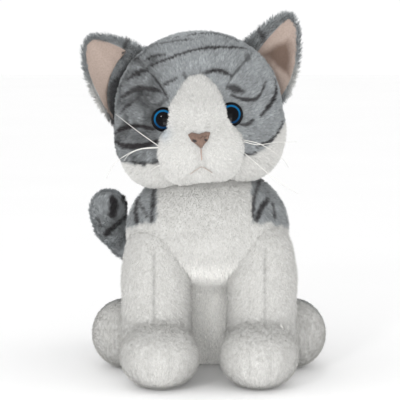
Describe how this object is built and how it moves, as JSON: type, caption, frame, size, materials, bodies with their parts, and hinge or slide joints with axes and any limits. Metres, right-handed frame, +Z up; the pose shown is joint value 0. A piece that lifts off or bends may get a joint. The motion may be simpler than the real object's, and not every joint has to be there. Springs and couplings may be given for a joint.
{
  "type": "plush cat",
  "caption": "Sitting plush kitten with striped grey and white fur, cupped ears, glossy eyes and springy sewn limbs, a head that turns and nods, and a weighted rump",
  "frame": {"origin": "middle of the flat patch under the rump, on the surface that the kitten sits on", "axes": "+Z up, -Y the way the chest and front paws point, +X to the viewer's right when looking at the face"},
  "size_m": [0.1829, 0.2158, 0.2667],
  "materials": {
    "white_plush": "short dense white plush",
    "grey_plush": "short plush, mid grey with dark brown-grey tabby stripes",
    "striped_plush": "short plush, mid grey with dark bands",
    "ear_lining": "very short pinkish beige velour",
    "face_thread": "brown-pink embroidery thread",
    "toe_thread": "pale thread sunk in the pile",
    "eye_plastic": "glossy blue iris, black pupil and rim",
    "washer_nylon": "natural nylon",
    "whisker_nylon": "stiff translucent white bristle",
    "stuffing": "loose polyester fibre",
    "pellet_cloth": "plain woven bag"
  },
  "bodies": {
    "trunk": {"trunk_stuffing": "stuffing", "chest_panel": "white_plush", "belly_panel": "white_plush", "base_panel": "white_plush", "flank_left": "striped_plush", "flank_right": "striped_plush", "back_panel_left": "striped_plush", "back_panel_right": "striped_plush", "pellet_bag": "pellet_cloth"},
    "neck": {"neck_stuffing": "stuffing"},
    "head": {"head_stuffing": "stuffing", "forehead_blaze": "white_plush", "muzzle_panel": "white_plush", "chin_panel": "white_plush", "cheek_left": "white_plush", "cheek_right": "white_plush", "crown_panel": "grey_plush", "nape_panel": "grey_plush", "face_side_left": "grey_plush", "face_side_right": "grey_plush", "eye_left": "eye_plastic", "eye_right": "eye_plastic", "eye_washer_left": "washer_nylon", "eye_washer_right": "washer_nylon", "nose": "face_thread", "philtrum_thread": "face_thread", "mouth_thread": "face_thread", "whisker_left_1": "whisker_nylon", "whisker_left_2": "whisker_nylon", "whisker_left_3": "whisker_nylon", "whisker_left_4": "whisker_nylon", "whisker_right_1": "whisker_nylon", "whisker_right_2": "whisker_nylon", "whisker_right_3": "whisker_nylon"},
    "ear_left": {"ear_back_left": "grey_plush", "ear_lining_left": "ear_lining"},
    "ear_right": {"ear_back_right": "grey_plush", "ear_lining_right": "ear_lining"},
    "front_leg_left": {"leg_stuffing_left": "stuffing", "leg_outer_left": "white_plush", "leg_inner_left": "white_plush", "paw_sole_left": "white_plush", "toe_stitch_left_1": "toe_thread", "toe_stitch_left_2": "toe_thread"},
    "front_leg_right": {"leg_stuffing_right": "stuffing", "leg_outer_right": "white_plush", "leg_inner_right": "white_plush", "paw_sole_right": "white_plush", "toe_stitch_right_1": "toe_thread", "toe_stitch_right_2": "toe_thread"},
    "hind_foot_left": {"foot_stuffing_left": "stuffing", "foot_upper_left": "white_plush", "foot_sole_left": "white_plush"},
    "hind_foot_right": {"foot_stuffing_right": "stuffing", "foot_upper_right": "white_plush", "foot_sole_right": "white_plush"},
    "tail": {"tail_stuffing": "stuffing", "tail_upper": "striped_plush", "tail_lower": "striped_plush"}
  },
  "joints": [
    {"name": "head_turn", "type": "hinge", "parent": "trunk", "child": "neck", "pos_m": [-0.008, -0.06, 0.2], "axis": [0, 0, 1], "range_deg": [-25, 25], "stiffness_Nm_per_rad": 0.3},
    {"name": "head_nod", "type": "hinge", "parent": "neck", "child": "head", "pos_m": [-0.008, -0.06, 0.2], "axis": [1, 0, 0], "range_deg": [-10, 10], "stiffness_Nm_per_rad": 0.6},
    {"name": "ear_left_fold", "type": "hinge", "parent": "head", "child": "ear_left", "pos_m": [-0.06946, -0.043, 0.22126], "axis": [0.4235, 0, 0.9059], "range_deg": [-15, 14], "stiffness_Nm_per_rad": 0.02},
    {"name": "ear_right_fold", "type": "hinge", "parent": "head", "child": "ear_right", "pos_m": [0.04991, -0.043, 0.22961], "axis": [0.5454, 0, -0.8382], "range_deg": [-15, 14], "stiffness_Nm_per_rad": 0.02},
    {"name": "front_leg_left_swing", "type": "hinge", "parent": "trunk", "child": "front_leg_left", "pos_m": [-0.0395, -0.076, 0.098], "axis": [-1, 0, 0], "range_deg": [-3, 15], "stiffness_Nm_per_rad": 0.5},
    {"name": "front_leg_right_swing", "type": "hinge", "parent": "trunk", "child": "front_leg_right", "pos_m": [0.0395, -0.076, 0.098], "axis": [-1, 0, 0], "range_deg": [-3, 15], "stiffness_Nm_per_rad": 0.5},
    {"name": "hind_foot_left_splay", "type": "hinge", "parent": "trunk", "child": "hind_foot_left", "pos_m": [-0.05, 0.006, 0.027], "axis": [0, 0, -1], "range_deg": [0, 18], "stiffness_Nm_per_rad": 0.4},
    {"name": "hind_foot_right_splay", "type": "hinge", "parent": "trunk", "child": "hind_foot_right", "pos_m": [0.05, 0.006, 0.027], "axis": [0, 0, 1], "range_deg": [0, 18], "stiffness_Nm_per_rad": 0.4},
    {"name": "tail_sway", "type": "hinge", "parent": "trunk", "child": "tail", "pos_m": [-0.012, 0.026, 0.046], "axis": [0, 0, -1], "range_deg": [-3, 10], "stiffness_Nm_per_rad": 0.1}
  ]
}
